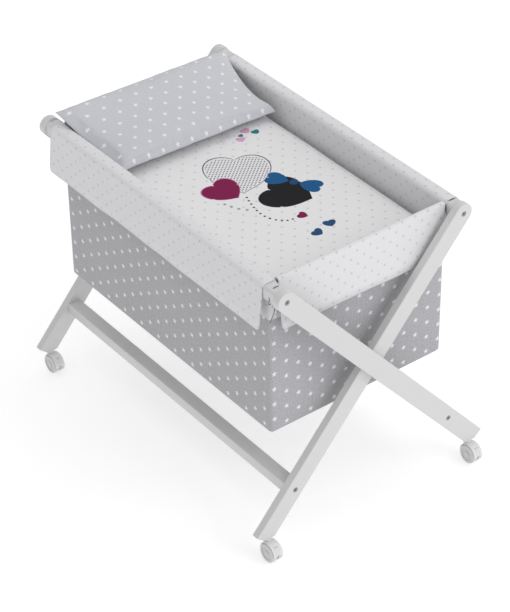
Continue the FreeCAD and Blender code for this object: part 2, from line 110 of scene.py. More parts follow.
class BassinetFabric(bpy.types.PropertyGroup):
    """Cloth weights and prints."""
    cloth_thick: FloatProperty(
        name="Cloth thickness", description="Thickness of the sewn cotton", default=1.4 * MM, unit="LENGTH")
    weave: FloatProperty(
        name="Weave pitch", description="Drawn thread spacing, coarser than real so that it shows",
        default=2.2 * MM, unit="LENGTH")
    grey: FloatVectorProperty(
        name="Grey cotton", description="Ground of the basket and pillow print", subtype="COLOR",
        default=linear("#B4B4B8")[:3])
    white: FloatVectorProperty(
        name="White cotton", description="Ground of the quilt", subtype="COLOR",
        default=linear("#E7E7E8")[:3])


class BassinetStand(bpy.types.PropertyGroup):
    """Lacquer and castors."""
    lacquer: FloatVectorProperty(
        name="White lacquer", description="Colour of the painted wood", subtype="COLOR",
        default=linear("#D0D0D0")[:3])
    castor: FloatVectorProperty(
        name="Castor plastic", description="Colour of hoods and wheels", subtype="COLOR",
        default=linear("#E2E2E2")[:3])
    grain: FloatProperty(
        name="Grain width", description="Distance between the fine ridges that telegraph through the lacquer",
        default=1.6 * MM, unit="LENGTH")


class BassinetView(bpy.types.PropertyGroup):
    """Camera place, aim and lens."""
    place: FloatVectorProperty(
        name="Camera place", description="Camera position", subtype="XYZ", unit="LENGTH",
        default=(-2.672, -3.557, 3.5915))
    azimuth: FloatProperty(
        name="Azimuth", description="Viewing direction round the vertical", default=math.radians(-36.89),
        subtype="ANGLE")
    elevation: FloatProperty(
        name="Elevation", description="Viewing direction above the horizon", default=math.radians(36.18),
        subtype="ANGLE")
    roll: FloatProperty(
        name="Roll", description="Turn of the camera about its own axis", default=math.radians(-0.92),
        subtype="ANGLE")
    lens: FloatProperty(name="Lens", description="Focal length in mm", default=132.6)


def fabric():
    return bpy.context.scene.bassinet_fabric


# ------------------------------------------------------------------ materials

def material(name, roughness, colour):
    """A new material; returns it with its node tree and shader."""
    made = bpy.data.materials.new(name)
    made.use_nodes = True
    tree = made.node_tree
    shader = next(node for node in tree.nodes if node.type == "BSDF_PRINCIPLED")
    shader.inputs["Roughness"].default_value = roughness
    shader.inputs["Base Color"].default_value = made.diffuse_color = (*colour[:3], 1.0)
    return made, tree, shader


def add(tree, kind, inputs=(), **settings):
    """Add a node with its settings; inputs maps a socket to a value or to another node's output."""
    node = tree.nodes.new(kind)
    for name, value in settings.items():
        setattr(node, name, value)
    for key, value in dict(inputs).items():
        if isinstance(value, bpy.types.NodeSocket):
            tree.links.new(value, node.inputs[key])
        else:
            node.inputs[key].default_value = value
    return node


def calculate(tree, operation, *values):
    return add(tree, "ShaderNodeMath", dict(enumerate(values)), operation=operation).outputs[0]


def mixed(tree, factor, first, second):
    """A colour mix of two colours or colour outputs."""
    node = add(tree, "ShaderNodeMix", data_type="RGBA")
    for socket, value in (("Factor_Float", factor), ("A_Color", first), ("B_Color", second)):
        target = next(s for s in node.inputs if s.identifier == socket)
        if isinstance(value, bpy.types.NodeSocket):
            tree.links.new(value, target)
        else:
            target.default_value = value
    return next(s for s in node.outputs if s.identifier == "Result_Color")


def saturate(tree, value):
    """A value kept between 0 and 1."""
    return calculate(tree, "MINIMUM", calculate(tree, "MAXIMUM", value, 0.0), 1.0)


def noise_at(tree, place, scale, detail, **inputs):
    """Smooth noise of a scale, in 1/m, with some finer detail."""
    return add(tree, "ShaderNodeTexNoise", {"Vector": place, "Scale": scale, "Detail": detail, **inputs}).outputs[0]


def stretched(tree, place, scale):
    return add(tree, "ShaderNodeMapping", {"Vector": place, "Scale": scale}).outputs[0]


def shade(tree, shader, colour, depth, tone):
    """Base colour that goes from a colour to its darker share by a tone."""
    darker = tuple(c * depth for c in colour[:3]) + (1.0,)
    tree.links.new(mixed(tree, tone, (*colour[:3], 1.0), darker), shader.inputs["Base Color"])


def emboss(tree, shader, height, distance, strength):
    """Relief of a height, in metres."""
    bump = add(tree, "ShaderNodeBump", {"Height": height, "Distance": distance, "Strength": strength})
    tree.links.new(bump.outputs[0], shader.inputs["Normal"])


def star_mask(tree, uv, across, down, radius, pointed=0.42):
    """1 inside small five-pointed stars in staggered rows; across and down are their spacing in metres.

    pointed is the inner radius of a star over its outer one, so 1 makes round dots.
    """
    split = add(tree, "ShaderNodeSeparateXYZ", {0: uv})
    row = calculate(tree, "DIVIDE", split.outputs[1], down)
    row_number = calculate(tree, "FLOOR", row)
    shift = calculate(tree, "MULTIPLY", calculate(tree, "FLOORED_MODULO", row_number, 2.0), 0.5)
    column = calculate(tree, "ADD", calculate(tree, "DIVIDE", split.outputs[0], across), shift)
    x = calculate(tree, "MULTIPLY", calculate(tree, "SUBTRACT", calculate(tree, "FRACT", column), 0.5), across)
    y = calculate(tree, "MULTIPLY", calculate(tree, "SUBTRACT", calculate(tree, "FRACT", row), 0.5), down)
    far = calculate(tree, "SQRT", calculate(tree, "ADD", calculate(tree, "MULTIPLY", x, x),
                                            calculate(tree, "MULTIPLY", y, y)))
    angle = calculate(tree, "ARCTAN2", x, y)
    fifth = calculate(tree, "PINGPONG", calculate(tree, "MULTIPLY", angle, 5 / math.tau), 0.5)
    edge = calculate(tree, "SUBTRACT", radius, calculate(tree, "MULTIPLY", fifth, 2 * radius * (1 - pointed)))
    return saturate(tree, calculate(tree, "DIVIDE", calculate(tree, "SUBTRACT", edge, far), radius * 0.18))


def weave_bump(tree, shader, uv, pitch):
    """Crossed threads as bump: two sets of waves, one for the warp and one for the weft."""
    split = add(tree, "ShaderNodeSeparateXYZ", {0: uv})
    waves = [calculate(tree, "SINE", calculate(tree, "MULTIPLY", split.outputs[axis], math.tau / pitch))
             for axis in (0, 1)]
    crossed = calculate(tree, "ADD", *waves)
    grain = noise_at(tree, uv, 0.35 / pitch, 3.0)
    height = calculate(tree, "ADD", calculate(tree, "MULTIPLY", crossed, 0.25),
                       calculate(tree, "MULTIPLY", grain, 1.6))
    emboss(tree, shader, height, 0.35 * MM, 0.5)


def printed_cotton(name, ground, star, print_grid, weave, streaks=0.0, sheen=0.25, prints=()):
    """Woven cotton with printed stars: matt, slightly hairy, threads just visible.

    print_grid is (across, down, star radius); prints are (mask maker, colour) pairs laid over the stars.
    """
    made, tree, shader = material(name, 0.9, ground)
    shader.inputs["Sheen Weight"].default_value = sheen
    shader.inputs["Sheen Roughness"].default_value = 0.5
    shader.inputs["Specular IOR Level"].default_value = 0.25
    uv = add(tree, "ShaderNodeUVMap", uv_map="cut").outputs[0]
    stars = star_mask(tree, uv, *print_grid)
    # slub: uneven dyeing of the yarn, stretched along the warp
    slub = noise_at(tree, stretched(tree, uv, (1 / weave, 0.06 / weave, 1.0)), 0.55, 2.0)
    cloudy = noise_at(tree, uv, 9.0, 2.0)
    # melange: flecks of darker fibre about two threads across
    fleck = noise_at(tree, uv, 0.5 / weave, 2.0, Roughness=0.7)
    flecks = calculate(tree, "MULTIPLY", calculate(tree, "SUBTRACT", fleck, 0.45), 6.5 * streaks)
    broad = calculate(tree, "ADD", calculate(tree, "MULTIPLY", slub, streaks),
                      calculate(tree, "MULTIPLY", cloudy, 0.05))
    tone = calculate(tree, "ADD", flecks, broad)
    darker = tuple(c * 0.66 for c in ground[:3]) + (1.0,)
    cloth = mixed(tree, tone, (*ground[:3], 1.0), darker)
    ink = mixed(tree, stars, cloth, star)
    for mask, colour in prints:
        ink = mixed(tree, mask(tree, uv), ink, colour)
    tree.links.new(ink, shader.inputs["Base Color"])
    weave_bump(tree, shader, uv, weave)
    return made


def motif_place(tree, uv, centre, size, turn):
    """x and y of a motif, in half-sizes from its centre, and both squared; centre and size in mm, turn in degrees."""
    place = add(tree, "ShaderNodeMapping", {
        "Vector": uv, "Location": (centre[0] * MM, centre[1] * MM, 0.0),
        "Rotation": (0.0, 0.0, math.radians(turn)),
        "Scale": (size[0] * MM / 2, size[1] * MM / 2, 1.0)}, vector_type="TEXTURE")
    split = add(tree, "ShaderNodeSeparateXYZ", {0: place.outputs[0]})
    x, y = split.outputs[0], split.outputs[1]
    return x, y, calculate(tree, "MULTIPLY", x, x), calculate(tree, "MULTIPLY", y, y)


def heart_mask(centre, size, turn=0.0, grow=1.0):
    """1 inside a heart; grow widens it for an outline."""
    def mask(tree, uv):
        _, y, xx, yy = motif_place(tree, uv, centre, [side * 0.88 * grow for side in size], turn)
        ring = calculate(tree, "SUBTRACT", calculate(tree, "ADD", xx, yy), 1.0)
        cube = calculate(tree, "MULTIPLY", calculate(tree, "MULTIPLY", ring, ring), ring)
        lobes = calculate(tree, "MULTIPLY", xx, calculate(tree, "MULTIPLY", yy, y))
        return saturate(tree, calculate(tree, "MULTIPLY", calculate(tree, "SUBTRACT", lobes, cube), 900.0))
    return mask


def oval_mask(centre, size, turn=0.0):
    """1 inside an oval."""
    def mask(tree, uv):
        _, _, xx, yy = motif_place(tree, uv, centre, size, turn)
        inside = calculate(tree, "SUBTRACT", 1.0, calculate(tree, "ADD", xx, yy))
        return saturate(tree, calculate(tree, "MULTIPLY", inside, 5.0))
    return mask


def dotted(shape, across, down, radius):
    """Round dots of a staggered grid, kept inside a shape."""
    def mask(tree, uv):
        return calculate(tree, "MULTIPLY", shape(tree, uv), star_mask(tree, uv, across, down, radius, pointed=1.0))
    return mask


def lacquered_wood():
    """Beech under sprayed white lacquer: satin, with the grain barely telegraphing through."""
    stand = bpy.context.scene.bassinet_stand
    made, tree, shader = material("White lacquered beech", 0.38, stand.lacquer)
    shader.inputs["Coat Weight"].default_value = 0.15
    shader.inputs["Coat Roughness"].default_value = 0.25
    place = add(tree, "ShaderNodeTexCoord").outputs["Object"]
    grain = noise_at(tree, stretched(tree, place, (1.0, 0.05, 1.0)), 0.6 / stand.grain, 4.0)
    peel = noise_at(tree, place, 180.0, 1.0)
    height = calculate(tree, "ADD", grain, calculate(tree, "MULTIPLY", peel, 0.5))
    emboss(tree, shader, height, 0.08 * MM, 0.35)
    shade(tree, shader, stand.lacquer, 0.85, calculate(tree, "MULTIPLY", grain, 0.10))
    return made


def moulded_plastic(name, colour, roughness):
    """Injection-moulded nylon: a fine spark-eroded texture and soft highlights."""
    made, tree, shader = material(name, roughness, colour)
    place = add(tree, "ShaderNodeTexCoord").outputs["Object"]
    cloudy = noise_at(tree, place, 60.0, 2.0)
    emboss(tree, shader, noise_at(tree, place, 900.0, 1.0), 0.05 * MM, 0.3)
    shade(tree, shader, colour, 0.88, calculate(tree, "MULTIPLY", cloudy, 0.3))
    return made


def plated_steel():
    """Zinc-plated steel of bolts, nuts and axles: bright, with fine turning marks."""
    made, tree, shader = material("Zinc-plated steel", 0.35, linear("#8F9193"))
    shader.inputs["Metallic"].default_value = 1.0
    place = add(tree, "ShaderNodeTexCoord").outputs["Object"]
    marks = noise_at(tree, place, 1400.0, 2.0)
    worn = add(tree, "ShaderNodeMapRange", {"Value": marks, "To Min": 0.28, "To Max": 0.5})
    tree.links.new(worn.outputs[0], shader.inputs["Roughness"])
    return made


def bare_wood(name, colour, ring):
    """Unpainted wood inside the joints or under the mattress: open grain, no gloss."""
    made, tree, shader = material(name, 0.7, colour)
    place = add(tree, "ShaderNodeTexCoord").outputs["Object"]
    grain = noise_at(tree, stretched(tree, place, (1.0, 0.06, 1.0)), 1 / ring, 5.0)
    shade(tree, shader, colour, 0.6, grain)
    emboss(tree, shader, grain, 0.2 * MM, 0.4)
    return made


# ------------------------------------------------------------------ mesh helpers

def arc(centre, radius, start, end, steps):
    """Points of a circular arc in a flat profile; angles in degrees."""
    turns = [math.radians(start + (end - start) * step / steps) for step in range(steps + 1)]
    return [(centre[0] + radius * math.cos(turn), centre[1] + radius * math.sin(turn)) for turn in turns]


def settle(name, bm, finishes, body, nodes):
    """Turn a bmesh into a finished piece that rides on a body and stands for its CAD nodes."""
    mesh = bpy.data.meshes.new(name)
    bm.to_mesh(mesh)
    bm.free()
    piece = bpy.data.objects.new(name, mesh)
    bpy.context.scene.collection.objects.link(piece)
    for finish in finishes:
        mesh.materials.append(finish)
    mesh.shade_smooth()
    if body:
        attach(piece, body)
    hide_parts(*nodes)
    return piece


def thicken(piece):
    """Give a sheet the cloth's thickness, inwards."""
    wall = piece.modifiers.new("cloth", "SOLIDIFY")
    wall.thickness = fabric().cloth_thick
    wall.offset = -1.0


def smooth_up(piece):
    soft = piece.modifiers.new("soft", "SUBSURF")
    soft.levels = soft.render_levels = 1


def relax(bm):
    """Smooth a mesh once, to take voxel steps away."""
    bmesh.ops.smooth_vert(bm, verts=bm.verts, factor=0.5, use_axis_x=True, use_axis_y=True, use_axis_z=True)


def unit_cube_to(bm, low, high):
    """Stretch a centred cube of size 1 to a box."""
    bmesh.ops.scale(bm, verts=bm.verts, vec=[b - a for a, b in zip(low, high)])
    bmesh.ops.translate(bm, verts=bm.verts, vec=[(a + b) / 2 for a, b in zip(low, high)])


def upright_share(edge):
    """How far an edge stands up: 1 when vertical, 0 when level."""
    return abs((edge.verts[0].co - edge.verts[1].co).normalized().z)


def round_off(bm, edges, width, segments, clamp=True):
    bmesh.ops.bevel(bm, geom=edges, offset=width, offset_type="OFFSET", affect="EDGES", segments=segments,
                    profile=0.5, material=-1, clamp_overlap=clamp)


def slice_at(bm, place, normal):
    bmesh.ops.bisect_plane(bm, geom=[*bm.verts, *bm.edges, *bm.faces], plane_co=place, plane_no=normal)


def look_out(bm, is_bag):
    """Turn the faces of a sheet outward: a bag's floor looks down, a flap's highest face looks up."""
    bmesh.ops.recalc_face_normals(bm, faces=bm.faces)
    if is_bag:
        known, outward = next(f for f in bm.faces if abs(f.normal.z) > 0.9), -1
    else:
        known, outward = max(bm.faces, key=lambda f: f.calc_center_median().z), 1
    if known.normal.z * outward < 0:
        bmesh.ops.reverse_faces(bm, faces=bm.faces)


# The side panels are cut so that their print doesn't meet the end panels' at the seam.
PANEL_SHIFT = 17.5 * MM


def cut_map(bm, along=None):
    """The UV map "cut", in metres: by the face's own direction, or by the profile length kept in a layer."""
    uv = bm.loops.layers.uv.new("cut")
    if along is not None:
        length = bm.verts.layers.float[along]
    bm.normal_update()
    for face in bm.faces:
        nx, ny, nz = (abs(c) for c in face.normal)
        for loop in face.loops:
            x, y, z = loop.vert.co
            if along == "profile_x":
                loop[uv].uv = (x, loop.vert[length])
            elif along == "profile_y":
                loop[uv].uv = (y, loop.vert[length])
            elif nz > max(nx, ny):
                loop[uv].uv = (x, y)
            elif nx > ny:
                loop[uv].uv = (y + PANEL_SHIFT, z)
            else:
                loop[uv].uv = (x, z)


def strip(profile, axis, start, end, cuts):
    """A sheet: a profile of few points, drawn out along an axis (0 or 1) and cut across evenly."""
    bm = bmesh.new()
    length = bm.verts.layers.float.new("profile_x" if axis == 0 else "profile_y")
    verts = []
    travelled = 0.0
    for point in profile:
        if verts:
            travelled += math.dist(point, last)
        place = (start, point[0], point[1]) if axis == 0 else (point[0], start, point[1])
        vert = bm.verts.new(place)
        vert[length] = travelled
        verts.append(vert)
        last = point
    edges = [bm.edges.new(pair) for pair in zip(verts, verts[1:])]
    drawn = bmesh.ops.extrude_edge_only(bm, edges=edges)
    moved = [item for item in drawn["geom"] if isinstance(item, bmesh.types.BMVert)]
    shift = Vector((end - start, 0, 0) if axis == 0 else (0, end - start, 0))
    bmesh.ops.translate(bm, verts=moved, vec=shift)
    across = [edge for edge in bm.edges if abs((edge.verts[0].co - edge.verts[1].co)[axis]) > 1e-6]
    bmesh.ops.subdivide_edges(bm, edges=across, cuts=cuts, use_grid_fill=True)
    return bm, travelled


def ripple(bm, reach, direction, seed, scale, weight):
    """Move vertices along a direction by smooth noise, as cloth that hangs a little uneven."""
    direction = Vector(direction)
    for vert in bm.verts:
        swell = noise.noise(vert.co * scale + Vector((seed, 2 * seed, 0)))
        vert.co += direction * (reach * swell * weight(vert.co))


def ripple_box(bm, low, high, reach, seed):
    """A hanging bag: walls drawn in a little below the lining and the floor sagged, nothing at the edges."""
    middle = [(a + b) / 2 for a, b in zip(low, high)]
    half = [(b - a) / 2 for a, b in zip(low, high)]
    for vert in bm.verts:
        share = [(c - m) / h for c, m, h in zip(vert.co, middle, half)]
        for axis in (0, 1, 2):
            others = [abs(share[other]) for other in (0, 1, 2) if other != axis]
            if abs(share[axis]) > 0.999 and max(others) < 0.97:
                free = (1 - others[0] ** 4) * (1 - others[1] ** 4)
                swell = 0.5 + 0.8 * noise.noise(vert.co * 6 + Vector((seed, 0, 0)))
                below = min(1.0, max(0.0, (LINING_LOW[2] - vert.co.z) / (60 * MM)))
                vert.co[axis] += reach * free * max(swell, 0.0) * (
                    -1.2 if axis == 2 else -math.copysign(below, share[axis]))


def box_shell(low, high, cuts, corner, bottom, open_top=True):
    """A fabric box from a cube: top taken off, sides cut into a grid, upright and bottom edges rounded."""
    bm = bmesh.new()
    bmesh.ops.create_cube(bm, size=1.0)
    unit_cube_to(bm, low, high)
    if open_top:
        top = [face for face in bm.faces if face.normal.z > 0.9]
        bmesh.ops.delete(bm, geom=top, context="FACES_ONLY")
    round_off(bm, [e for e in bm.edges if upright_share(e) > 0.99], corner, 4)
    floor = [e for e in bm.edges if all(abs(v.co.z - low[2]) < 1e-6 for v in e.verts)
             and len(e.link_faces) == 2 and any(abs(f.normal.z) < 0.5 for f in e.link_faces)]
    round_off(bm, floor, bottom, 6)
    for axis in (0, 1, 2):
        for step in range(1, cuts[axis]):
            normal = Vector((0, 0, 0))
            normal[axis] = 1.0
            slice_at(bm, normal * (low[axis] + (high[axis] - low[axis]) * step / cuts[axis]), normal)
    return bm


# ------------------------------------------------------------------ cloth simulation

def swell_up(name, bm, voxel, pressure, cap, frames=20):
    """Inflate a closed form by cloth simulation and return it as a bmesh; no point moves more than cap."""
    mesh = bpy.data.meshes.new(name)
    bm.to_mesh(mesh)
    bm.free()
    blank = bpy.data.objects.new(name, mesh)
    bpy.context.scene.collection.objects.link(blank)
    grid = blank.modifiers.new("grid", "REMESH")
    grid.mode = "VOXEL"
    grid.voxel_size = voxel
    evaluated = blank.evaluated_get(bpy.context.evaluated_depsgraph_get())
    even = bpy.data.meshes.new_from_object(evaluated)
    blank.modifiers.clear()
    blank.data = even
    rest = [vert.co.copy() for vert in even.vertices]
    cloth = blank.modifiers.new("stuffing", "CLOTH")
    cloth.settings.use_pressure = True
    cloth.settings.uniform_pressure_force = pressure
    cloth.settings.effector_weights.gravity = 0.0
    scene = bpy.context.scene
    for step in range(1, frames + 1):
        scene.frame_set(step)
    evaluated = blank.evaluated_get(bpy.context.evaluated_depsgraph_get())
    swollen = [vert.co.copy() for vert in evaluated.data.vertices]
    blank.modifiers.clear()
    for vert, start, end in zip(even.vertices, rest, swollen):
        move = end - start
        if move.length > cap:
            move.length = cap
        vert.co = start + move
    scene.frame_set(1)
    result = bmesh.new()
    result.from_mesh(blank.data)
    bpy.data.objects.remove(blank)
    return result


def cushion_blank(low, high, pinch, edge):
    """A pad with crowned faces that meet in a thin seam: a cube whose rim is pinched to its middle plane."""
    bm = bmesh.new()
    bmesh.ops.create_cube(bm, size=1.0)
    flat = [e for e in bm.edges if upright_share(e) < 0.5]
    bmesh.ops.subdivide_edges(bm, edges=flat, cuts=14, use_grid_fill=True)
    for vert in bm.verts:
        x, y, _ = vert.co * 2
        crown = (1 - abs(x) ** pinch) * (1 - abs(y) ** pinch)
        vert.co.z *= edge + (1 - edge) * max(crown, 0.0) ** 0.5
    unit_cube_to(bm, low, high)
    return bm


# ------------------------------------------------------------------ how the fabric follows the fold

def hang_between_frames(piece):
    """Fabric fixed to both rails: its left edge stays, its right edge goes with the right frame."""
    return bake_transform(piece, "left_frame", "right_frame", start=(RAIL_HIGH[0], 0, 0), end=(-RAIL_HIGH[0], 0, 0))


def crumple_with_fold(piece):
    """Give bedding left in the basket a mesh of its own."""
    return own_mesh(piece)


def flat_map(bm):
    """The UV map "cut" looked straight down on, in metres."""
    uv = bm.loops.layers.uv.new("cut")
    for face in bm.faces:
        for loop in face.loops:
            loop[uv].uv = loop.vert.co.xy


# ------------------------------------------------------------------ finishes of the prints

def grey_print():
    # grey melange cotton poplin, overprinted in white: the stars are a little uneven in the yarn
    return printed_cotton("Grey star-print cotton", fabric().grey, linear("#E4E5E8"), (70 * MM, 21.5 * MM, 7.5 * MM),
                          fabric().weave, streaks=0.35)


def white_print():
    # bleached cotton poplin with tiny pale grey stars: bright, soft, its folds shaded only a little
    return printed_cotton("White small-star cotton", linear("#E0E0E2"), linear("#C6C6CB"),
                          (38 * MM, 17.5 * MM, 4.6 * MM), fabric().weave, streaks=0.05)


# ------------------------------------------------------------------ operators

class BASSINET_OT_basket(bpy.types.Operator):
    """Sewn basket that hangs between the rails: grey below, a white band above"""
    bl_idname = "bassinet.basket"
    bl_label = "Basket"
    # The cloth stretches under its load, so the bag hangs lower than its CAD solid.
    hangs_lower = 8 * MM

    def execute(self, context):
        low = [a + 2 * CLEAR for a in BASKET_LOW[:2]] + [BASKET_LOW[2] - self.hangs_lower]
        high = [b - 2 * CLEAR for b in BASKET_HIGH[:2]] + [BASKET_HIGH[2] - CLEAR]
        bm = box_shell(low, high, (16, 24, 12), 10 * MM, 15 * MM)
        slice_at(bm, (0, 0, HEM), (0, 0, 1))
        ripple_box(bm, low, high, 5 * MM, seed=3.0)
        cut_map(bm)
        for face in bm.faces:
            face.material_index = 1 if face.calc_center_median().z > HEM else 0
        look_out(bm, is_bag=True)
        piece = settle("basket_shell", bm, [grey_print(), white_print()], None, ["basket"])
        smooth_up(piece)
        thicken(piece)
        hang_between_frames(piece)
        return {"FINISHED"}


class BASSINET_OT_lining(bpy.types.Operator):
    """Inner tub that carries the board and the mattress"""
    bl_idname = "bassinet.lining"
    bl_label = "Lining"

    def execute(self, context):
        low = [a + 0.6 * MM for a in LINING_LOW]
        high = [b - 0.6 * MM for b in LINING_HIGH]
        bm = box_shell(low, high, (12, 20, 4), 3 * MM, 2 * MM)
        cut_map(bm)
        look_out(bm, is_bag=True)
        piece = settle("lining_tub", bm, [white_print()], None, ["lining"])
        thicken(piece)
        hang_between_frames(piece)
        return {"FINISHED"}


class BASSINET_OT_side_flaps(bpy.types.Operator):
    """White flaps turned over the two rails"""
    bl_idname = "bassinet.side_flaps"
    bl_label = "Side flaps"

    def execute(self, context):
        top = RAIL_HIGH[2] + 2.6 * MM
        bend = 12.5 * MM
        outer, inner = RAIL_LOW[0] - 2.5 * MM, RAIL_HIGH[0] + 2.5 * MM
        # from the lower hem up the outer side, over the rail and down the inner side: (across, height)
        profile = [(FLAP_LOW[0] + 0.6 * MM, FLAP_LOW[2] + 0.5 * MM), (outer - 6.5 * MM, 660 * MM),
                   (outer - 3.5 * MM, 695 * MM), (outer - 0.7 * MM, 722 * MM)]
        profile += arc((outer + bend, top - bend), bend, 180, 90, 5)
        profile += arc((inner - bend, top - bend), bend, 90, 0, 5)
        profile += [(inner, 712 * MM), (inner, 676 * MM), (inner, HEM)]
        hang = FLAP_HIGH[2] - FLAP_LOW[2]

        def loose_outside(co):
            return 0.0 if abs(co.x) < -outer else min(1.0, 1.6 * (FLAP_HIGH[2] - co.z) / hang)

        def uneven_hem(co):
            return max(0.0, 1 - (co.z - FLAP_LOW[2]) / (60 * MM)) if abs(co.x) > -outer else 0.0

        for name, side, body in (("left", 1, "left_frame"), ("right", -1, "right_frame")):
            start, end = FLAP_LOW[1] + CLEAR, FLAP_HIGH[1] - CLEAR
            bm, cut = strip([(side * x, z) for x, z in profile], 1, start, end, 60)
            ripple(bm, 3.2 * MM, (1, 0, 0), 11.0 * side, 11.0, loose_outside)
            ripple(bm, 2.2 * MM, (0, 0, 1), 5.0 * side, 6.0, uneven_hem)
            look_out(bm, is_bag=False)
            cut_map(bm, "profile_y")
            piece = settle(f"{name}_side_flap", bm, [white_print()], body, [f"{name}_flap"])
            smooth_up(piece)
            thicken(piece)
        return {"FINISHED"}


class BASSINET_OT_end_flaps(bpy.types.Operator):
    """White flaps over the two ends, stretched between the side flaps"""
    bl_idname = "bassinet.end_flaps"
    bl_label = "End flaps"

    def execute(self, context):
        top = FOOT_HIGH[2] - 0.8 * MM
        bend = 7 * MM
        crest = FOOT_HIGH[1] - 2 * CLEAR - bend
        inner = crest + bend
        # from the lower hem up the outer side, over the basket's edge and down the inner side: (along, height)
        profile = [(FOOT_LOW[1] + CLEAR, FOOT_LOW[2] + 0.5 * MM), (FOOT_LOW[1] + 5 * MM, 660 * MM),
                   (FOOT_LOW[1] + 8 * MM, 700 * MM), (crest - bend - 1 * MM, 728 * MM)]
        profile += arc((crest, top - bend), bend, 180, 0, 8)
        profile += [(inner, 712 * MM), (inner, 676 * MM), (inner, HEM)]
        start, end = FOOT_LOW[0] + CLEAR, FOOT_HIGH[0] - CLEAR
        hang = 134 * MM
        for name, side in (("foot", 1), ("head", -1)):
            shift = 0.0 if side > 0 else FOOT_LOW[1] + HEAD_HIGH[1]
            bm, cut = strip([(side * y + shift, z) for y, z in profile], 0, start, end, 44)
            edge = (crest - bend) * side + shift

            def loose_outside(co):
                return min(1.0, 1.5 * (FOOT_HIGH[2] - co.z) / hang) if (co.y - edge) * side < 0 else 0.0

            ripple(bm, 3.5 * MM, (0, 1, 0), 23.0 * side, 12.0, loose_outside)
            look_out(bm, is_bag=False)
            cut_map(bm, "profile_x")
            piece = settle(f"{name}_end_flap", bm, [white_print()], None, [f"{name}_flap"])
            smooth_up(piece)
            thicken(piece)
            hang_between_frames(piece)
        return {"FINISHED"}


class BASSINET_OT_ties(bpy.types.Operator):
    """Dark threads that tie the fabric to the ends of the rails; their near-black colour also paints the shadow in
    the gap along the flaps' edge
    """
    bl_idname = "bassinet.ties"
    bl_label = "Thread ties"

    def execute(self, context):
        # waxed polyester thread, slightly glossy; drawn nearly black, which also paints the shadow in the gap along
        # the flaps' edge
        thread, tree, shader = material("Thread with painted gap shadow", 0.45, linear("#2A2826"))
        place = add(tree, "ShaderNodeTexCoord").outputs["Object"]
        emboss(tree, shader, noise_at(tree, place, 1200.0, 2.0), 0.2 * MM, 1.0)
        clear, radius = 1.2 * MM, 0.8 * MM
        low, top = RAIL_LOW[2] - clear, RAIL_HIGH[2] + clear
        for name, side in (("left", 1), ("right", -1)):
            body = f"{name}_frame"
            near = span(f"{body}_rail")[0][1] + 20 * MM
            outer, inner, out = side * RAIL_LOW[0], side * RAIL_HIGH[0], side * clear
            middle = (outer + inner) / 2
            round_the_rail = [(outer - out, near, low), (outer - out, near, top), (inner + out, near + 2 * MM, top),
                              (inner + out, near, low), (outer - out, near, low)]
            down_to_the_hem = [(middle, near, low), (middle + out, near + 6 * MM, low - 30 * MM),
                               (middle - 2 * out, near + 14 * MM, 655 * MM), (middle, near + 22 * MM, HEM)]
            line = bpy.data.curves.new(f"{name}_ties", "CURVE")
            line.dimensions = "3D"
            line.bevel_depth = radius
            for points in (round_the_rail, down_to_the_hem):
                spline = line.splines.new("NURBS")
                spline.points.add(len(points) - 1)
                for point, corner in zip(spline.points, points):
                    point.co = (*corner, 1.0)
                spline.order_u = 3
                spline.use_endpoint_u = True
            line.materials.append(thread)
            piece = bpy.data.objects.new(f"{name}_ties", line)
            context.scene.collection.objects.link(piece)
            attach(piece, body)
        return {"FINISHED"}


class BASSINET_OT_board(bpy.types.Operator):
    """Plywood base board with rounded corners and eased edges"""
    bl_idname = "bassinet.board"
    bl_label = "Base board"

    def execute(self, context):
        bm = bmesh.new()
        bmesh.ops.create_cube(bm, size=1.0)
        unit_cube_to(bm, BOARD_LOW, BOARD_HIGH)
        round_off(bm, [e for e in bm.edges if upright_share(e) > 0.99], 12 * MM, 5, clamp=False)
        rims = [e for e in bm.edges if any(abs(f.normal.z) > 0.9 for f in e.link_faces)]
        round_off(bm, rims, 1 * MM, 2, clamp=False)
        plywood = bare_wood("Poplar plywood", linear("#D9C19A"), 12 * MM)
        piece = settle("base_board_panel", bm, [plywood], "base_board", ["base_board"])
        crumple_with_fold(piece)
        return {"FINISHED"}


class BASSINET_OT_mattress(bpy.types.Operator):
    """Foam mattress in a quilted cover with a piped edge"""
    bl_idname = "bassinet.mattress"
    bl_label = "Mattress"

    def execute(self, context):
        low = [a + 3 * MM for a in MATTRESS_LOW]
        high = [b - 3 * MM for b in MATTRESS_HIGH]
        bm = box_shell(low, high, (10, 16, 3), 14 * MM, 12 * MM, open_top=False)
        bm = swell_up("mattress_blank", bm, 8 * MM, 3.0, 2.5 * MM, frames=8)
        flat_map(bm)
        cover = printed_cotton("Quilted polycotton ticking", linear("#EFEFEC"), linear("#DADAD6"),
                               (30 * MM, 15 * MM, 1.5 * MM), fabric().weave)
        piece = settle("mattress_pad", bm, [cover], "mattress", ["mattress"])
        crumple_with_fold(piece)
        return {"FINISHED"}


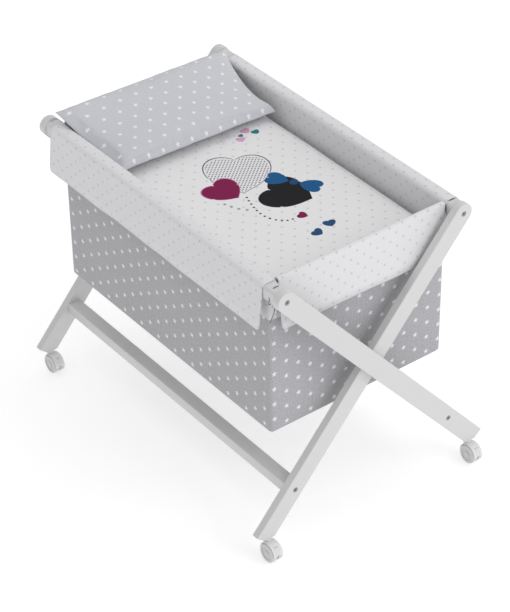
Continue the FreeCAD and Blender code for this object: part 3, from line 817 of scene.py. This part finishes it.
class BASSINET_OT_quilt(bpy.types.Operator):
    """Thin quilt that fills the basket, with hearts and a bow printed on it"""
    bl_idname = "bassinet.quilt"
    bl_label = "Quilt"

    def prints(self):
        """Masks and colours, the lowest first; places and sizes in mm from the quilt's middle, turns in degrees."""
        magenta, black, blue = linear("#7C0648"), linear("#0B0C10"), linear("#0B5488")
        navy, teal, pink = linear("#1F4A75"), linear("#1F7C7C"), linear("#D7A2C3")
        grey = linear("#9A9AA0")
        big = ((-5, 50), (160, 165), -28.5)
        string = [(-45, -32), (-50, -46), (-54, -61), (-58, -76), (-61, -91), (-62, -106), (-61, -121), (-57, -136),
                  (-50, -149), (-41, -160), (-30, -167), (-17, -170)]
        return [
            (heart_mask(*big, grow=1.03), black),
            (heart_mask(*big), linear("#E4E4E7")),
            (dotted(heart_mask(*big, grow=0.95), 12 * MM, 5 * MM, 2.1 * MM), black),
            (heart_mask((45, -85), (135, 125), 32), black),
            (heart_mask((-68, 18), (95, 90), 12, grow=1.05), linear("#C98BB0")),
            (heart_mask((-68, 18), (95, 90), 12), magenta),
            (heart_mask((62, -16), (52, 58), 32), blue),
            (heart_mask((102, -80), (52, 58), 212), blue),
            (oval_mask((82, -48), (22, 26), -58), linear("#0A4672")),
            (heart_mask((-4, -248), (32, 26), 20), navy),
            (heart_mask((39, -237), (32, 26), -15), navy),
            (heart_mask((12, -173), (27, 25), 30), magenta),
            (heart_mask((131, 203), (26, 24), 10), pink),
            (heart_mask((97, 178), (24, 22), -20), pink),
            (heart_mask((147, 184), (22, 20), 0), teal),
            (heart_mask((109, 193), (14, 13), 15), teal),
            (dotted(heart_mask((78, 212), (34, 30), 20), 8 * MM, 3.5 * MM, 1.3 * MM), grey),
            (dotted(heart_mask((52, 196), (28, 26), -10), 8 * MM, 3.5 * MM, 1.3 * MM), grey),
            *((oval_mask(place, (6, 6)), black) for place in string),
            *((oval_mask(place, (8, 8)), grey) for place in ((-102, -22), (-96, -40), (-88, -58), (-76, -74))),
        ]

    def execute(self, context):
        low = [a + 5 * MM for a in QUILT_LOW[:2]] + [QUILT_LOW[2] + CLEAR]
        high = [b - 5 * MM for b in QUILT_HIGH[:2]] + [QUILT_HIGH[2] - 6 * MM]
        bm = box_shell(low, high, (24, 36, 2), 22 * MM, 10 * MM, open_top=False)
        for vert in bm.verts:
            if vert.co.z > (low[2] + high[2]) / 2:
                inset = min(vert.co.x - low[0], high[0] - vert.co.x, vert.co.y - low[1], high[1] - vert.co.y)
                vert.co.z -= 8 * MM * max(0.0, 1 - inset / (26 * MM)) ** 2
                vert.co.z += 2.0 * MM * noise.noise(vert.co * 9)
        bm = swell_up("quilt_blank", bm, 6 * MM, 4.0, 5 * MM)
        relax(bm)
        flat_map(bm)
        cover = printed_cotton("Printed quilt cotton", fabric().white, linear("#CDCDD0"),
                               (38 * MM, 24 * MM, 5 * MM), fabric().weave, sheen=0.06, prints=self.prints())
        piece = settle("quilt_cover", bm, [cover], "quilt", ["quilt"])
        crumple_with_fold(piece)
        return {"FINISHED"}


class BASSINET_OT_pillow(bpy.types.Operator):
    """Soft pillow with pointed corners, one edge on the quilt and the other on the end flap"""
    bl_idname = "bassinet.pillow"
    bl_label = "Pillow"
    wide, depth, thick = 452 * MM, 250 * MM, 40 * MM
    tilt = math.radians(15.5)
    # The seam's corners where the pillow lies, and how far its upper left side reaches over the rail.
    near_left, near_right = Vector((-236, 200, 716)) * MM, Vector((228, 196, 710)) * MM
    far_left, far_right = Vector((-240, 440, 787)) * MM, Vector((246, 440, 779)) * MM
    over_rail = Vector((-36, 0, 0)) * MM

    def crumple(self, bm):
        """Broad dents all over, and finer folds that run into the seam."""
        for vert in bm.verts:
            x, y = abs(vert.co.x) / (self.wide / 2), abs(vert.co.y - self.depth / 2) / (self.depth / 2)
            dents = 1.8 * MM * noise.noise(Vector((vert.co.x * 14, vert.co.y * 18, 4.0)))
            folds = 2.6 * MM * noise.noise(Vector((vert.co.x * 40, vert.co.y * 6, 8.0)))
            vert.co.z += dents + folds * min(1.0, x ** 4 + y ** 4)

    def lay_down(self, bm):
        """Bring the flat pillow to its place, with its two sides drooping between the corners."""
        up = Matrix.Rotation(self.tilt, 3, "X") @ Vector((0, 0, 1))
        for vert in bm.verts:
            across, along = vert.co.x / self.wide + 0.5, vert.co.y / self.depth
            near, far = self.near_left.lerp(self.near_right, across), self.far_left.lerp(self.far_right, across)
            vert.co = near.lerp(far, along) + up * vert.co.z
            left, right = max(0.0, 1 - across) ** 3, max(0.0, across) ** 4
            droop = math.sin(math.pi * min(1.0, max(0.0, (along - 0.1) / 0.86)))
            vert.co += self.over_rail * (left * along ** 2)
            vert.co += Vector((-8 * right, 0, -19 * left - 17 * right)) * (MM * droop)

    def execute(self, context):
        low, high = (-self.wide / 2, 0, -self.thick / 2), (self.wide / 2, self.depth, self.thick / 2)
        bm = cushion_blank(low, high, pinch=3.0, edge=0.16)
        bm = swell_up("pillow_blank", bm, 5 * MM, 4.0, 8 * MM)
        self.crumple(bm)
        relax(bm)
        flat_map(bm)
        self.lay_down(bm)
        cover = printed_cotton("Pale grey star-print cotton", linear("#CACBD0"), linear("#E9EAEF"),
                               (41 * MM, 29.5 * MM, 6.2 * MM), fabric().weave, streaks=0.1)
        piece = settle("pillow_cover", bm, [cover], "pillow", ["pillow"])
        crumple_with_fold(piece)
        return {"FINISHED"}


def finish_nodes(finish, *endings):
    """Give every CAD node whose name ends so the finish."""
    for name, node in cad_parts.items():
        if name.endswith(endings):
            for slot in node.material_slots:
                slot.material = finish
            if not node.material_slots:
                node.data.materials.append(finish)


class BASSINET_OT_stand(bpy.types.Operator):
    """White lacquer on the legs, rails and stretchers; steel and bare wood for their fixings"""
    bl_idname = "bassinet.stand"
    bl_label = "Stand"

    def execute(self, context):
        finish_nodes(lacquered_wood(), "_leg", "_rail", "_stretcher")
        # turned beech, glued in and never painted: warm and open-grained
        finish_nodes(bare_wood("Bare beech", linear("#C9A77C"), 6 * MM), "_dowels")
        finish_nodes(plated_steel(), "_bolts", "_nuts", "_washers", "_insert", "_axle", "_stem", "_sleeves")
        return {"FINISHED"}


class BASSINET_OT_castors(bpy.types.Operator):
    """Twin-wheel castors in white nylon"""
    bl_idname = "bassinet.castors"
    bl_label = "Castors"

    def execute(self, context):
        finish_nodes(moulded_plastic("White moulded nylon hood", context.scene.bassinet_stand.castor, 0.4), "_hood")
        finish_nodes(moulded_plastic("Grey-white nylon wheel", linear("#CFCFCF"), 0.5), "_wheel")
        finish_nodes(moulded_plastic("White acetal pedal", linear("#DDDDDD"), 0.35), "_brake")
        return {"FINISHED"}


class BASSINET_OT_stage(bpy.types.Operator):
    """Pale floor, soft studio light and the camera"""
    bl_idname = "bassinet.stage"
    bl_label = "Stage"
    floor_half = 12.0
    aim = Vector((0, 0, 0.4))
    # The sky's brightness at the side, and how much it gains towards the front right.
    glow, lean = 0.76, 0.2

    def lamp(self, name, place, size, power):
        light = bpy.data.lights.new(name, "AREA")
        light.size = size
        light.energy = power
        holder = bpy.data.objects.new(name, light)
        bpy.context.scene.collection.objects.link(holder)
        holder.location = place
        holder.rotation_euler = (self.aim - Vector(place)).to_track_quat("-Z", "Y").to_euler()

    def execute(self, context):
        scene = context.scene
        view = scene.bassinet_view
        bm = bmesh.new()
        bmesh.ops.create_grid(bm, x_segments=2, y_segments=2, size=self.floor_half)
        mesh = bpy.data.meshes.new("studio_floor")
        bm.to_mesh(mesh)
        bm.free()
        floor = bpy.data.objects.new("studio_floor", mesh)
        scene.collection.objects.link(floor)
        # seamless paper: matt and almost white
        paper, _, shader = material("White studio paper", 0.95, linear("#E4E4E4"))
        shader.inputs["Specular IOR Level"].default_value = 0.1
        shader.inputs["Emission Color"].default_value = (1.0, 1.0, 1.0, 1.0)
        shader.inputs["Emission Strength"].default_value = 0.42
        mesh.materials.append(paper)

        world = bpy.data.worlds.new("soft_studio")
        scene.world = world
        world.use_nodes = True
        sky = world.node_tree.nodes["Background"]
        sky.inputs[0].default_value = (1.0, 1.0, 1.0, 1.0)
        tree = world.node_tree
        way = add(tree, "ShaderNodeTexCoord").outputs["Generated"]
        split = add(tree, "ShaderNodeSeparateXYZ", {0: way})
        front_right = calculate(tree, "SUBTRACT", split.outputs[0], split.outputs[1])
        glow = calculate(tree, "ADD", calculate(tree, "MULTIPLY", front_right, self.lean), self.glow)
        tree.links.new(glow, sky.inputs[1])
        self.lamp("key_light", (1.4, -3.3, 3.2), 2.2, 23)
        self.lamp("top_light", (-0.4, 0.6, 4.2), 3.0, 14)

        eye = bpy.data.cameras.new("camera")
        eye.lens = view.lens
        camera = bpy.data.objects.new("camera", eye)
        scene.collection.objects.link(camera)
        back = Vector((math.sin(view.azimuth) * math.cos(view.elevation),
                       -math.cos(view.azimuth) * math.cos(view.elevation), math.sin(view.elevation)))
        camera.rotation_mode = "QUATERNION"
        camera.rotation_quaternion = back.to_track_quat("Z", "Y") @ Quaternion((0, 0, 1), view.roll)
        camera.location = view.place
        scene.camera = camera
        scene.view_settings.view_transform = "Standard"
        return {"FINISHED"}


class BASSINET_PT_panel(bpy.types.Panel):
    """Lists the bassinet's pieces in the sidebar"""
    bl_idname = "BASSINET_PT_panel"
    bl_label = "Bassinet"
    bl_space_type = "VIEW_3D"
    bl_region_type = "UI"
    bl_category = "Bassinet"

    def draw(self, context):
        for group in (context.scene.bassinet_fabric, context.scene.bassinet_stand, context.scene.bassinet_view):
            for name in group.bl_rna.properties.keys():
                if name not in {"rna_type", "name"}:
                    self.layout.prop(group, name)
        for operator in OPERATORS:
            self.layout.operator(operator.bl_idname)


GROUPS = {"bassinet_fabric": BassinetFabric, "bassinet_stand": BassinetStand, "bassinet_view": BassinetView}
OPERATORS = (BASSINET_OT_stand, BASSINET_OT_castors, BASSINET_OT_basket, BASSINET_OT_lining,
             BASSINET_OT_side_flaps, BASSINET_OT_end_flaps, BASSINET_OT_ties, BASSINET_OT_board,
             BASSINET_OT_mattress, BASSINET_OT_quilt, BASSINET_OT_pillow, BASSINET_OT_stage)


def register():
    for name, group in GROUPS.items():
        bpy.utils.register_class(group)
        setattr(bpy.types.Scene, name, PointerProperty(type=group))
    for item in (*OPERATORS, BASSINET_PT_panel):
        bpy.utils.register_class(item)


def unregister():
    for item in reversed((*OPERATORS, BASSINET_PT_panel)):
        bpy.utils.unregister_class(item)
    for name, group in GROUPS.items():
        delattr(bpy.types.Scene, name)
        bpy.utils.unregister_class(group)


def main():
    register()
    for operator in OPERATORS:
        family, name = operator.bl_idname.split(".")
        getattr(getattr(bpy.ops, family), name)()


if __name__ == "__main__":
    main()
